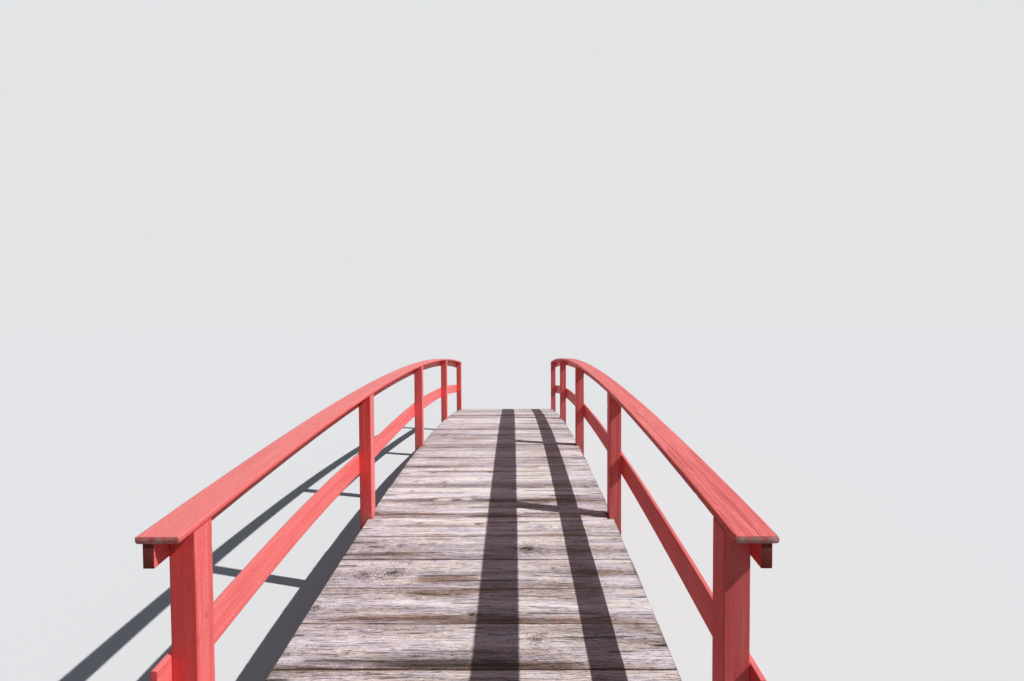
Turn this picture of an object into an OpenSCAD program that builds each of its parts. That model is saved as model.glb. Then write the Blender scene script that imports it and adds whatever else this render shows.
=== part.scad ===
// Arched timber footbridge with painted railings, in millimetres
// +Y runs along the bridge, +X is its right side, +Z is up, and the origin is
// on the ground under the middle of the crown

/* [Span] */
// Distance between neighbouring posts, centre to centre
bay = 1880; // [1500:10:2200]
// Number of bays from end post to end post
bays = 4; // [2:2:6]
// Radius of the walking surface seen from the side
arch_r = 28000; // [22000:500:60000]
// Clear width between the posts of both sides
walk_w = 1804; // [1000:2:2400]

/* [Posts] */
// Width of a square post
post_w = 90; // [70:1:140]
// Rounding of the post's long corners
post_round = 3; // [1:0.5:8]
// How far a post reaches down below the walking surface
post_drop = 262; // [200:1:270]

/* [Deck] */
// Width of one plank along the bridge
plank_w = 275; // [120:1:300]
// Thickness of a plank
plank_t = 38; // [25:1:60]
// Open joint between two planks
plank_gap = 2.5; // [1:0.5:12]
// Rounding of a plank's long edges
plank_round = 4; // [1:0.5:8]
// How far a plank's end stands past the posts' inner faces
plank_over = 32; // [10:1:80]
// Where the plank joint nearest the crown lies, past the crown
joint_shift = 39; // [-60:1:130]
// Narrowest strip that is still laid at an end of the deck
plank_least = 60; // [30:1:100]
// How far the deck runs past the end posts
deck_over = 295; // [240:5:600]
// Room between a left post and the notch in the planks round it
notch_left = 4; // [1:1:20]
// Room between a right post and the notch in the planks round it
notch_right = 15; // [1:1:20]

/* [Carrying timbers] */
// Thickness of an arched stringer
stringer_t = 38; // [30:1:90]
// Depth of an arched stringer
stringer_d = 235; // [180:1:320]
// Thickness of the board that closes the stringers at each end
header_t = 38; // [25:1:60]
// Thickness of a blocking board between stringers
block_t = 38; // [25:1:60]
// Depth of a blocking board
block_d = 140; // [90:1:160]
// Distance from the planks down to the blocking boards
block_gap = 8; // [3:1:20]
// Side of the square sill under each end
sill_w = 140; // [90:5:200]
// Distance from a sill's outer face to the end of the stringers
sill_in = 45; // [0:5:150]

/* [Cap rails] */
// Height of the cap's underside above the walking surface
rail_h = 933; // [800:1:1100]
// Width of the flat cap board
cap_w = 148; // [120:1:200]
// Thickness of the cap board
cap_t = 26; // [20:1:45]
// Rounding of the cap board's edges
cap_round = 8; // [3:0.5:9]
// How far the cap runs past the end posts
cap_over = 68; // [40:1:200]

/* [Side rails] */
// Thickness of the upper rail under the cap
upper_t = 38; // [25:1:45]
// Depth of the upper rail
upper_d = 84; // [60:1:140]
// Rounding of the upper rail's edges
upper_round = 3; // [1:0.5:8]
// How far the upper rail runs past the end posts
upper_over = 62; // [30:1:190]
// Thickness of the middle rail
middle_t = 25; // [20:1:45]
// Depth of the middle rail
middle_d = 150; // [90:1:200]
// Rounding of the middle rail's edges
middle_round = 6; // [2:0.5:8]
// How far the middle rail runs past the end posts
middle_over = 62; // [30:1:190]
// Height of the left middle rail's lower edge above the walking surface
middle_left_h = 348; // [150:1:500]
// Height of the right middle rail's lower edge above the walking surface
middle_right_h = 331; // [150:1:500]
// Open joint where two rail boards meet over the middle post
rail_joint = 2; // [1:0.5:6]

/* [Hidden] */
// Colours
paint = "#d9625c";
deck_wood = "#b9a99c";
frame_wood = "#8a7763";
sill_wood = "#6f6152";
// Sides and halves
LEFT = -1;
RIGHT = 1;
NEAR = -1;
FAR = 1;
// Places across the bridge
post_x = walk_w / 2 + post_w / 2;
rail_x = walk_w / 2 + post_w;
stringer_x = walk_w / 2 - stringer_t / 2;
deck_w = walk_w + 2 * plank_over;
// Places along the bridge
last_post_y = bays * bay / 2;
post_end_y = last_post_y + post_w / 2;
deck_end_y = post_end_y + deck_over;
// Radii of the arcs, all about the arch's centre below the bridge
stringer_top_r = arch_r - plank_t;
stringer_mid_r = stringer_top_r - stringer_d / 2;
stringer_low_r = stringer_top_r - stringer_d;
cap_low_r = arch_r + rail_h;
upper_mid_r = cap_low_r - upper_d / 2;
// Lengths along the walking surface, and the angles that they stand for
plank_pitch = plank_w + plank_gap;
deck_half = arc_length(deck_end_y);
header_mid = deck_half - header_t / 2;
stringer_half = deck_half - header_t;
// The sills, and the height at which the stringers sit flat on them
stringer_end_y = stringer_low_r * sin(angle_of(stringer_half));
sill_y = stringer_end_y - sill_in - sill_w / 2;
seat_y = sill_y - sill_w / 2;
centre_z = sill_w - sqrt(pow(stringer_low_r, 2) - pow(seat_y, 2));
// First and last plank, counted from the joint nearest the crown
first_plank = floor((-deck_half - joint_shift) / plank_pitch);
last_plank = ceil((deck_half - joint_shift) / plank_pitch) - 1;
// Facets of the long arcs and of the small edge roundings
arc_facets = 720;
edge_facets = 24;
margin = 300;

BAY_NODES = [for (i = [1:bays]) str("deck_bay_", i)];
POST_NODES = [for (side = ["left", "right"], i = [1:bays + 1]) str("post_", side, "_", i)];
RAIL_NODES = [for (kind = ["cap", "upper_rail", "middle_rail"], side = ["left", "right"], half = ["near", "far"])
    str(kind, "_", side, "_", half)];
BLOCK_NODES = [for (i = [1:bays + 1]) str("blocking_", i)];
FRAME_NODES = ["stringer_left", "stringer_middle", "stringer_right",
    "header_near", "header_far", "sill_near", "sill_far"];

function angle_of(length) = length / arch_r * 180 / PI;
function arc_length(y) = asin(y / arch_r) * PI / 180 * arch_r;
function post_y(i) = (i - 1) * bay - last_post_y;
function surface_z(y) = centre_z + sqrt(pow(arch_r, 2) - pow(y, 2));
function plank_from(i) = max(-deck_half, joint_shift + i * plank_pitch + plank_gap / 2);
function plank_to(i) = min(deck_half, joint_shift + (i + 1) * plank_pitch - plank_gap / 2);
function plank_laid(i) = plank_to(i) - plank_from(i) >= plank_least;
function plank_bay(i) =
    let (middle_y = (plank_from(i) + plank_to(i)) / 2 + last_post_y)
    min(bays, max(1, floor(middle_y / bay) + 1));
function half_from(half, over) = half == NEAR ? -post_end_y - over : rail_joint / 2;
function half_to(half, over) = half == NEAR ? -rail_joint / 2 : post_end_y + over;

// Rectangle with rounded corners about the origin
module rounded(w, h, r) {
    square([w - 2 * r, h], center = true);
    square([w, h - 2 * r], center = true);
    for (x = [-1, 1], y = [-1, 1])
        translate([x * (w / 2 - r), y * (h / 2 - r)])
            circle(r = r, $fn = edge_facets);
}

// Carries a profile along an arc of radius r about the arch's centre; the
// profile's x is the radius and y is across
module along_arc(r, y0, y1) {
    a0 = asin(y0 / r);
    a1 = asin(y1 / r);
    translate([0, 0, centre_z])
        rotate([0, -90, 0])
            rotate([0, 0, a0])
                rotate_extrude(angle = a1 - a0, $fn = arc_facets)
                    translate([r, 0])
                        children();
}

// Puts a piece on the arch: its y runs along the arc and its z is the radius
module on_arch(length) {
    translate([0, 0, centre_z])
        rotate([-angle_of(length), 0, 0])
            children();
}

// Everything at or below the height of the sills' tops
module below_seats() {
    translate([0, 0, sill_w / 2 - margin / 2])
        cube([deck_w + margin, 2 * deck_end_y + margin, sill_w + margin], center = true);
}

// Notches that the planks have round the posts
module post_notches() {
    for (side = [LEFT, RIGHT], i = [1:bays + 1]) {
        room = side == LEFT ? notch_left : notch_right;
        translate([side * (post_x - room / 2 + margin / 2), post_y(i), surface_z(post_y(i))])
            cube([post_w + room + margin, post_w + 2 * notch_left, margin], center = true);
    }
}

module stringer(x) {
    color(frame_wood)
        translate([x, 0, 0])
            difference() {
                along_arc(stringer_mid_r, -stringer_end_y, stringer_end_y)
                    square([stringer_d, stringer_t], center = true);
                below_seats();
            }
}

// Board across the stringers' ends, cut flat at the height of the sills
module header(half) {
    color(frame_wood)
        difference() {
            on_arch(half * header_mid)
                translate([0, 0, stringer_mid_r])
                    cube([walk_w, header_t, stringer_d], center = true);
            below_seats();
        }
}

// Two boards, one on each side of the middle stringer
module blocking(i) {
    length = walk_w / 2 - stringer_t * 3 / 2;
    color(frame_wood)
        for (side = [LEFT, RIGHT])
            on_arch(arc_length(post_y(i)))
                translate([side * (stringer_t + length) / 2, 0, stringer_top_r - block_gap - block_d / 2])
                    cube([length, block_t, block_d], center = true);
}

module sill(half) {
    color(sill_wood)
        translate([0, half * sill_y, sill_w / 2])
            rotate([90, 0, 90])
                linear_extrude(deck_w, center = true)
                    rounded(sill_w, sill_w, post_round);
}

// Upright post against a stringer's outer face, its top cut to the cap's arc
module post(side, i) {
    y = post_y(i);
    color(paint)
        difference() {
            translate([side * post_x, y, surface_z(y) - post_drop])
                linear_extrude(post_drop + rail_h + post_w)
                    rounded(post_w, post_w, post_round);
            along_arc(cap_low_r, y - post_w, y + post_w)
                translate([post_w, side * -post_x])
                    square(2 * post_w, center = true);
        }
}

// One flat plank, square to the arch at its own middle
module plank(from, to) {
    width = to - from;
    on_arch((from + to) / 2)
        translate([0, 0, arch_r - plank_t / 2])
            rotate([90, 0, 90])
                linear_extrude(deck_w, center = true)
                    rounded(width, plank_t, plank_round);
}

// The planks over one bay, notched round the posts that they meet
module deck_bay(bay_no) {
    color(deck_wood)
        difference() {
            for (i = [first_plank:last_plank])
                if (plank_laid(i) && plank_bay(i) == bay_no)
                    plank(plank_from(i), plank_to(i));
            post_notches();
        }
}

module cap(side, half) {
    color(paint)
        along_arc(cap_low_r, half_from(half, cap_over), half_to(half, cap_over))
            translate([cap_t / 2, -side * (walk_w / 2 + cap_w / 2)])
                rounded(cap_t, cap_w, cap_round);
}

module upper_rail(side, half) {
    color(paint)
        along_arc(upper_mid_r, half_from(half, upper_over), half_to(half, upper_over))
            translate([0, -side * (rail_x + upper_t / 2)])
                rounded(upper_d, upper_t, upper_round);
}

module middle_rail(side, half) {
    height = side == LEFT ? middle_left_h : middle_right_h;
    color(paint)
        along_arc(arch_r + height + middle_d / 2, half_from(half, middle_over), half_to(half, middle_over))
            translate([0, -side * (rail_x + middle_t / 2)])
                rounded(middle_d, middle_t, middle_round);
}

stringer(LEFT * stringer_x);  // stringer_left
stringer(0);  // stringer_middle
stringer(RIGHT * stringer_x);  // stringer_right
header(NEAR);  // header_near
header(FAR);  // header_far
sill(NEAR);  // sill_near
sill(FAR);  // sill_far
for (i = [1:bays + 1]) {
    blocking(i);
    post(LEFT, i);
    post(RIGHT, i);
}
for (i = [1:bays])
    deck_bay(i);
cap(LEFT, NEAR);  // cap_left_near
cap(LEFT, FAR);  // cap_left_far
cap(RIGHT, NEAR);  // cap_right_near
cap(RIGHT, FAR);  // cap_right_far
upper_rail(LEFT, NEAR);  // upper_rail_left_near
upper_rail(LEFT, FAR);  // upper_rail_left_far
upper_rail(RIGHT, NEAR);  // upper_rail_right_near
upper_rail(RIGHT, FAR);  // upper_rail_right_far
middle_rail(LEFT, NEAR);  // middle_rail_left_near
middle_rail(LEFT, FAR);  // middle_rail_left_far
middle_rail(RIGHT, NEAR);  // middle_rail_right_near
middle_rail(RIGHT, FAR);  // middle_rail_right_far
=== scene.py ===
import math

import bpy
import numpy as np
from mathutils import Matrix, Vector


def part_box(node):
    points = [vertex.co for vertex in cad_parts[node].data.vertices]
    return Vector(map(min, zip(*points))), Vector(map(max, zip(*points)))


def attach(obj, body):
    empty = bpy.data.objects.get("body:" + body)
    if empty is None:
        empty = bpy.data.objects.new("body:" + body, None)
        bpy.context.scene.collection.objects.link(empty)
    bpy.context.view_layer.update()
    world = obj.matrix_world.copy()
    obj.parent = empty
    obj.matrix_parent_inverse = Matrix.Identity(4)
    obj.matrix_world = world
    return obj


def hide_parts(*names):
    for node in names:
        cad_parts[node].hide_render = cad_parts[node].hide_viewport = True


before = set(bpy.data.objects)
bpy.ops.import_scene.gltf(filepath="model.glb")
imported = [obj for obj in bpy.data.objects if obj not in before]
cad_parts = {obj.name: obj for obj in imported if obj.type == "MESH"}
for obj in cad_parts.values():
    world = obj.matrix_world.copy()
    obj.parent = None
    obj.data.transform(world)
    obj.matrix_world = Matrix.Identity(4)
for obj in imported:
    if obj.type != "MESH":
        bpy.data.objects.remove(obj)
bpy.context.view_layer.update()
print("stage: frame loaded,", len(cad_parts), "nodes")

# The arch: every long timber follows a circle whose middle lies far below the bridge
arch = {
    "radius": 28.0,  # of the walking surface, seen from the side
    "bay": 1.88,  # from post to post
    "bays": 4,
    "walkHalf": 0.902,  # half the clear width between the posts
    "postWidth": 0.09,
    "railHeight": 0.933,  # underside of the cap above the walking surface
    "capThickness": 0.026,
    "stringerX": 0.883,  # middle of an outer stringer
    "stringerHalf": 0.019,
}
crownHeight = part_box("cap_left_near")[1].z - arch["railHeight"] - arch["capThickness"]
centreHeight = crownHeight - arch["radius"]
postYs = (np.arange(arch["bays"] + 1) - arch["bays"] / 2) * arch["bay"]
postEndY = postYs[-1] + arch["postWidth"] / 2
railX = arch["walkHalf"] + arch["postWidth"]  # the posts' outer faces
sides = (("left", -1), ("right", 1))


def arcLength(y):  # length along the walking surface from the crown to the place y
    return arch["radius"] * math.asin(y / arch["radius"])


def heightAt(y, rise=0.0):  # height of the circle that lies that far above the walking surface
    return centreHeight + np.sqrt((arch["radius"] + rise) ** 2 - y * y)


def softNoise(a, b, seed):
    # Random heights from -1 to 1 on a unit lattice, blended between its nodes by 3t^2 - 2t^3
    a, b = np.broadcast_arrays(np.asarray(a, float), np.asarray(b, float))
    cells = 61  # the lattice repeats after so many
    heights = np.random.default_rng(seed).uniform(-1, 1, (cells, cells))
    i, j = np.floor(a).astype(int), np.floor(b).astype(int)
    p, q = a - i, b - j
    p, q = p * p * (3 - 2 * p), q * q * (3 - 2 * q)
    near, far = (heights[i % cells, k % cells] * (1 - p) + heights[(i + 1) % cells, k % cells] * p for k in (j, j + 1))
    return near * (1 - q) + far * q


def smoothStep(low, high, value):
    t = np.clip((value - low) / (high - low), 0, 1)
    return t * t * (3 - 2 * t)


def placeObject(name, data):
    made = bpy.data.objects.new(name, data)
    bpy.context.scene.collection.objects.link(made)
    return made


def meshPiece(name, points, quads, faceSlots, values, materials, replaced=(), flatAngle=38):
    # Puts arrays into one mesh: values holds one number or one vector a point, by attribute name
    used, quads = np.unique(quads, return_inverse=True)
    quads = quads.reshape(-1, 4)
    mesh = bpy.data.meshes.new(name)
    mesh.from_pydata(points[used].tolist(), [], quads.tolist())
    mesh.polygons.foreach_set("material_index", np.asarray(faceSlots, np.int32))
    mesh.polygons.foreach_set("use_smooth", np.asarray(faceSlots) != 1)  # the sawn ends stay flat
    mesh.set_sharp_from_angle(angle=math.radians(flatAngle))
    for key, array in values.items():
        array = np.asarray(array, np.float32)[used]
        kind, field = ("FLOAT", "value") if array.ndim == 1 else ("FLOAT_VECTOR", "vector")
        mesh.attributes.new(key, kind, "POINT").data.foreach_set(field, array.ravel())
    for material in materials:
        mesh.materials.append(material)
    piece = placeObject(name, mesh)
    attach(piece, "root")
    if replaced:
        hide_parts(*replaced)


class Wire:
    # One output of a node. Its sums and products are Math nodes, so that a formula in the tree reads as itself
    def __init__(self, socket):
        self.socket, self.tree = socket, socket.id_data

    def __add__(self, other):
        return calc("ADD", self, other)

    def __sub__(self, other):
        return calc("SUBTRACT", self, other)

    def __mul__(self, other):
        return calc("MULTIPLY", self, other)

    def __truediv__(self, other):
        return calc("DIVIDE", self, other)

    __radd__, __rmul__ = __add__, __mul__


def setInputs(node, inputs):
    for key, value in inputs.items():
        if isinstance(value, Wire):
            value.tree.links.new(value.socket, node.inputs[key])
        else:
            node.inputs[key].default_value = value


def addNode(tree, kind, inputs=None, **settings):
    made = tree.nodes.new(kind)
    for key, value in settings.items():
        setattr(made, key, value)
    setInputs(made, inputs or {})
    return made


def treeOf(inputs):
    return next(value.tree for value in inputs.values() if isinstance(value, Wire))


def wire(kind, inputs, output=0, **settings):  # a new node beside those that feed it
    return Wire(addNode(treeOf(inputs), kind, inputs, **settings).outputs[output])


def calc(operation, *values):
    return wire("ShaderNodeMath", dict(enumerate(values)), operation=operation)


def distanceOf(a, b):
    return calc("SQRT", a * a + b * b)


def span(value, low, high, to=(0.0, 1.0)):  # smooth change from one level to another
    inputs = {"Value": value, "From Min": low, "From Max": high, "To Min": to[0], "To Max": to[1]}
    return wire("ShaderNodeMapRange", inputs, "Result", interpolation_type="SMOOTHSTEP")


def mixColour(factor, a, b, blend="MIX"):
    return wire("ShaderNodeMix", {"Factor": factor, 6: a, 7: b}, 2, data_type="RGBA", blend_type=blend)


def tinted(base, tint):
    return mixColour(1.0, base, tint, "MULTIPLY")


def joinAxes(x, y, z):
    return wire("ShaderNodeCombineXYZ", {"X": x, "Y": y, "Z": z})


def splitAxes(vector):
    return [Wire(output) for output in addNode(vector.tree, "ShaderNodeSeparateXYZ", {0: vector}).outputs]


def shaded(base, level):  # the colour made lighter or darker by a level about 1
    return tinted(base, joinAxes(level, level, level))


def weighed(start, *parts):  # start + weight * (value - 0.5) for each pair of value and weight
    return sum((weight * (value - 0.5) for value, weight in parts), start)


def noise(vector, scale=1.0, detail=2.0, roughness=0.5, distortion=0.0):
    inputs = {"Vector": vector, "Scale": scale, "Detail": detail, "Roughness": roughness, "Distortion": distortion}
    return wire("ShaderNodeTexNoise", inputs, "Fac")


def rampColour(value, stops):
    made = addNode(value.tree, "ShaderNodeValToRGB", {"Fac": value})
    elements = made.color_ramp.elements
    while len(elements) < len(stops):
        elements.new(0.5)
    for element, (position, tone) in zip(elements, stops):
        element.position, element.color = position, (*tone, 1)
    return Wire(made.outputs["Color"])


def attributes(tree, names, output="Fac"):  # what the mesh carries at each point
    return [Wire(addNode(tree, "ShaderNodeAttribute", attribute_name=name).outputs[output]) for name in names.split()]


def objectPlace(tree, output="Object"):
    return Wire(addNode(tree, "ShaderNodeTexCoord").outputs[output])


def newGroup(name, inputs):  # inputs by name, each with its own number, or None for a vector
    tree = bpy.data.node_groups.new(name, "ShaderNodeTree")
    for label, value in inputs.items():
        kind = "NodeSocketVector" if value is None else "NodeSocketFloat"
        socket = tree.interface.new_socket(label, in_out="INPUT", socket_type=kind)
        if value is not None:
            socket.default_value = value
    return tree, {output.name: Wire(output) for output in tree.nodes.new("NodeGroupInput").outputs}


def closeGroup(tree, results):
    for label, result in results.items():
        kind = "NodeSocketVector" if result.socket.type == "VECTOR" else "NodeSocketFloat"
        tree.interface.new_socket(label, in_out="OUTPUT", socket_type=kind)
    setInputs(tree.nodes.new("NodeGroupOutput"), results)
    return tree


def placeGroup(group, inputs):
    made = addNode(treeOf(inputs), "ShaderNodeGroup", inputs, node_tree=group)
    return {output.name: Wire(output) for output in made.outputs}


def makeKnotFlow():
    # Grain lines run round a knot as water round a stone: across - 1.35 * dy * size^2 / (distance^2 + size^2)
    tree, given = newGroup("knotFlow", {"Place": None, "Knot": None, "Stretch": 0.6})
    along, across, deep = splitAxes(given["Place"])
    knotAlong, knotAcross, knotSize = splitAxes(given["Knot"])
    knotAlong = knotAlong * given["Stretch"]
    size = knotSize * span(noise(given["Place"], 45.0), 0.3, 0.7, (0.75, 1.3))
    squared = knotAlong * knotAlong + knotAcross * knotAcross
    bend = size * size / (squared + size * size + 1e-6)
    distance = calc("SQRT", squared) / (size + 1e-5)
    faint = span(noise(given["Place"], 130.0), 0.36, 0.54, (0.3, 1.0))
    return closeGroup(tree, {
        "Flow": joinAxes(along, across - knotAcross * bend * 1.35, deep),
        "Core": span(distance, 0.8, 0.5),
        "Rings": span(calc("SINE", distance * 15.0), 0.1, 0.9) * span(distance, 2.4, 1.0) * faint,
    })


def makeGrain():
    # The wood of a log. The first axis runs along the grain and the others across it, all in metres. Pith is the
    # middle of the log: across, depth and slope. A ring's phase is (distance from the pith + wobble) / ring width
    tree, given = newGroup("grain", {
        "Flow": None, "Seed": 0.0, "Pith": None, "Ring Width": 0.007, "Band Width": 0.05, "Streak Width": 0.006,
    })
    along, side, deep = splitAxes(given["Flow"])
    pithSide, pithDepth, pithSlope = splitAxes(given["Pith"])
    drift, streak = given["Seed"] * 37.0, given["Streak Width"]

    def stretched(width, ratio, shift, detail, roughness, distortion=0.0):
        # Noise of this width across the grain, and so many times as long
        place = joinAxes(along / (width * ratio), side / width + drift, deep / width + (drift + shift))
        return noise(place, 1.0, detail, roughness, distortion)

    across = side - pithSide
    radius = distanceOf(across, deep - pithDepth - pithSlope * along)
    wobble = stretched(0.09, 5.0, 3.0, 1.0, 0.5) * 0.05 + stretched(0.018, 7.0, 7.0, 2.0, 0.5) * 0.007
    phase = (radius + wobble) / given["Ring Width"]
    part = calc("FRACT", phase)

    # Checks open along a few rings, where those meet the face steeply
    half = phase + 0.5
    near = calc("ABSOLUTE", calc("FRACT", half) - 0.5)
    where = noise(joinAxes(along / 0.3, calc("FLOOR", half) * 7.3, drift), 1.0, 1.0)
    steep = calc("ABSOLUTE", across) / (radius + 1e-4)
    return closeGroup(tree, {
        "Growth": span(part, 0.4, 0.88) * span(part, 1.0, 0.92),
        "Bands": stretched(given["Band Width"], 24.0, 0.0, 5.0, 0.6, 0.2),
        "Streaks": stretched(streak, 36.0, 11.0, 4.0, 0.66),
        "Fibres": stretched(streak * 0.3, 44.0, 23.0, 2.0, 0.6),
        "Hairs": stretched(streak * 0.7, 50.0, 41.0, 2.0, 0.7, 0.15),
        "Checks": span(near, 0.12, 0.04) * span(where, 0.53, 0.61) * span(steep, 0.25, 0.6),
    })


knotFlow, grain = makeKnotFlow(), makeGrain()


def newMaterial(name):
    material = bpy.data.materials.new(name)
    material.use_nodes = True
    return material, material.node_tree


def fillShader(material, base, roughness, height, bump, metallic=0.0):
    normal = wire("ShaderNodeBump", {"Height": height, "Distance": bump, "Strength": 1.0})
    inputs = {"Base Color": base, "Roughness": roughness, "Normal": normal, "Metallic": metallic}
    setInputs(material.node_tree.nodes["Principled BSDF"], inputs)
    return material


def grainOf(finish, flow):  # the wood as the piece's own attributes lay it
    seed, pith = attributes(flow.tree, "seed"), attributes(flow.tree, "pith", "Vector")
    return placeGroup(grain, {
        "Flow": flow, "Seed": seed[0], "Pith": pith[0],
        "Ring Width": finish["ringWidth"], "Band Width": finish["bandWidth"], "Streak Width": finish["streakWidth"],
    })


deckFinish = {
    # Colours of the bare timber from its darkest streaks to its bleached ridges, by a level from 0 to 1
    "tones": [(0.0, (0.075, 0.053, 0.042)), (0.2, (0.205, 0.15, 0.134)), (0.38, (0.375, 0.302, 0.292)),
              (0.54, (0.53, 0.45, 0.455)), (0.72, (0.70, 0.61, 0.625)), (0.9, (0.88, 0.80, 0.81)),
              (1.0, (0.97, 0.90, 0.90))],
    "level": 0.72,  # of plain wood
    "cream": (1.02, 0.98, 0.915, 1),  # this and the next six are multiplied in, in patches
    "lilac": (0.98, 0.98, 1.03, 1),
    "brown": (0.64, 0.505, 0.405, 1),
    "olive": (0.60, 0.56, 0.50, 1),
    "heart": (0.42, 0.34, 0.26, 1),  # of a knot
    "rust": (0.55, 0.38, 0.28, 1),
    "dirt": (0.55, 0.55, 0.55, 1),  # along the joints
    "crack": (0.03, 0.019, 0.013, 1),
    "splinter": (1.0, 0.95, 0.90, 1),
    "ringWidth": 0.0075,
    "bandWidth": 0.07,
    "streakWidth": 0.006,
    "bump": 0.0011,
    "roughness": 0.85,
}
underFinish = {
    **deckFinish,
    "tones": [(0.0, (0.04, 0.026, 0.016)), (0.3, (0.12, 0.08, 0.052)), (0.55, (0.20, 0.145, 0.10)),
              (0.8, (0.29, 0.22, 0.16)), (1.0, (0.37, 0.29, 0.22))],
}


def makeDeckTimber(name, finish):
    material, tree = newMaterial(name)
    place, knot, nail = attributes(tree, "grainPlace knot nail", "Vector")
    stain, bleach, splinter, shade, tone, edge, crack = attributes(tree, "stain bleach splinter shade tone edge crack")
    flow = placeGroup(knotFlow, {"Place": place, "Knot": knot})
    fibre = grainOf(finish, flow["Flow"])
    bands, streaks, fibres = fibre["Bands"], fibre["Streaks"], fibre["Fibres"]
    speckle = noise(place, 210.0, 3.0, 0.65)
    hairs = span(fibre["Hairs"], 0.565, 0.62)
    along, across, deep = splitAxes(flow["Flow"])
    flecks = noise(joinAxes(along * 26.0, across * 105.0, deep), 1.0, 3.0, 0.65, 0.4)
    ragged = span(weighed(stain, (streaks, 2.4), (bands, 1.4), (fibres, 1.0)), 0.2, 0.8)

    # How light each point is: each thing that the wood shows adds to the level or takes from it
    level = weighed(finish["level"], (span(bands, 0.4, 0.56), 0.15), (span(streaks, 0.4, 0.54), 0.16),
                    (span(fibres, 0.4, 0.6), 0.2), (speckle, 0.8), (tone, 0.38))
    level += 0.17 * shade + 0.2 * bleach + 0.27 * span(flecks, 0.57, 0.66)
    level -= 0.1 * fibre["Growth"] + 0.65 * hairs + 0.36 * span(flecks, 0.42, 0.34)
    level -= 0.3 * span(fibres, 0.58, 0.66) * span(bands, 0.62, 0.42)
    level -= 0.2 * ragged + 0.22 * stain * span(streaks, 0.6, 0.42) + flow["Rings"]
    base = rampColour(level, finish["tones"])
    along, across, _ = splitAxes(place)
    patch = noise(joinAxes(along * 3.0, bands, across * 14.0), 1.0, 2.0, 0.6)
    base = tinted(base, mixColour(span(patch, 0.38, 0.62), finish["cream"], finish["lilac"]))

    # Stains keep the wood's own light and dark, because they are multiplied in
    sort = span(noise(place, 4.0), 0.56, 0.76)
    stained = tinted(base, mixColour(sort, finish["brown"], finish["olive"]))
    base = mixColour(ragged, base, stained)
    torn = splinter * span(weighed(0.5, (fibres, 1.6), (streaks, 1.2)), 0.2, 0.45)
    base = mixColour(torn, base, finish["splinter"])
    core = flow["Core"] * span(speckle, 0.36, 0.52, (0.35, 1.0))
    base = mixColour(core, base, tinted(base, finish["heart"]))

    # Rust runs from each nail along the grain, and dirt gathers along the joints
    nailAlong, nailAcross, rustiness = splitAxes(nail)
    away = distanceOf(nailAlong * 0.4, nailAcross) + 0.014 * (streaks - 0.5)
    base = mixColour(span(away, 0.011, 0.003) * rustiness, base, tinted(base, finish["rust"]))
    dirt = span(edge, 0.006, 0.001) * span(bands, 0.42, 0.6, (0.15, 0.85))
    base = mixColour(dirt, base, tinted(stained, finish["dirt"]))
    checks = fibre["Checks"] * span(streaks, 0.4, 0.6, (0.3, 0.9))
    base = mixColour(calc("MAXIMUM", checks, crack), base, finish["crack"])
    ridges = weighed(0.0, (streaks, 1.0), (fibres, 0.5), (speckle, 0.25))
    ridges += 0.3 * fibre["Growth"] + 0.5 * flow["Core"] - 0.6 * hairs - 1.3 * fibre["Checks"]
    return fillShader(material, base, finish["roughness"], ridges, finish["bump"])


sawnEnd = {
    "fineness": 70.0,  # of the flecks
    "split": 0.9,  # how dark the splits are, from 0 to 1
    "crack": (0.03, 0.02, 0.017, 1),
    "ringShare": 0.6,
    "bandWidth": 0.03,
    "streakWidth": 0.004,
    "bump": 0.0012,
    "roughness": 0.9,
}
sawnEnds = {
    "deckEnd": {**sawnEnd, "light": (0.50, 0.41, 0.36, 1), "dark": (0.23, 0.17, 0.14, 1),
                "fleck": (0.31, 0.26, 0.19, 1), "flecks": 0.6, "ringWidth": 0.0055},
    "capEnd": {**sawnEnd, "light": (1.0, 0.55, 0.48, 1), "dark": (0.26, 0.085, 0.07, 1), "split": 0.8,
               "fleck": (0.97, 0.19, 0.17, 1), "flecks": 0.85, "fineness": 30.0, "ringWidth": 0.0035},
    "paintedEnd": {**sawnEnd, "light": (0.78, 0.08, 0.07, 1), "dark": (0.50, 0.045, 0.04, 1), "split": 0.0,
                   "fleck": (0.62, 0.10, 0.09, 1), "flecks": 0.4, "roughness": 0.6, "ringWidth": 0.0045},
    # The upper rails' ends: dark bare end grain, made near black as painted shade under the caps' ends
    "paintedShadeEnd": {**sawnEnd, "light": (0.25, 0.035, 0.02, 1), "dark": (0.12, 0.015, 0.009, 1),
                "fleck": (0.22, 0.02, 0.012, 1), "flecks": 0.5, "ringWidth": 0.004},
}


def makeSawnEnd(name, finish):
    # Sawn ends show the log's rings, short splits that point at its middle, and flecks of another colour
    material, tree = newMaterial(name)
    place, pith = attributes(tree, "grainPlace pith", "Vector")
    fibre = grainOf(finish, place)
    axes, middle, solid = splitAxes(place), splitAxes(pith), objectPlace(tree)
    turn = calc("ARCTAN2", axes[1] - middle[0], axes[2] - middle[1])
    rays = joinAxes(turn * 28.0, fibre["Bands"], attributes(tree, "seed")[0] * 91.0)
    splits, speckle = noise(rays, 1.0, 2.0, 0.6), noise(solid, 260.0, 3.0, 0.7)
    patch = span(noise(solid, finish["fineness"], 3.0, 0.65), 0.46, 0.58)
    darkened = (0.0, finish["split"])
    base = mixColour(fibre["Growth"] * finish["ringShare"], finish["light"], finish["dark"])
    base = mixColour(span(speckle, 0.48, 0.7, (0.0, 0.75)), base, finish["dark"])
    base = mixColour(patch * finish["flecks"], base, finish["fleck"])
    base = mixColour(span(splits, 0.62, 0.68, darkened), base, finish["crack"])
    ridges = speckle - span(splits, 0.6, 0.68, darkened)
    return fillShader(material, base, finish["roughness"], ridges, finish["bump"])


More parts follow.
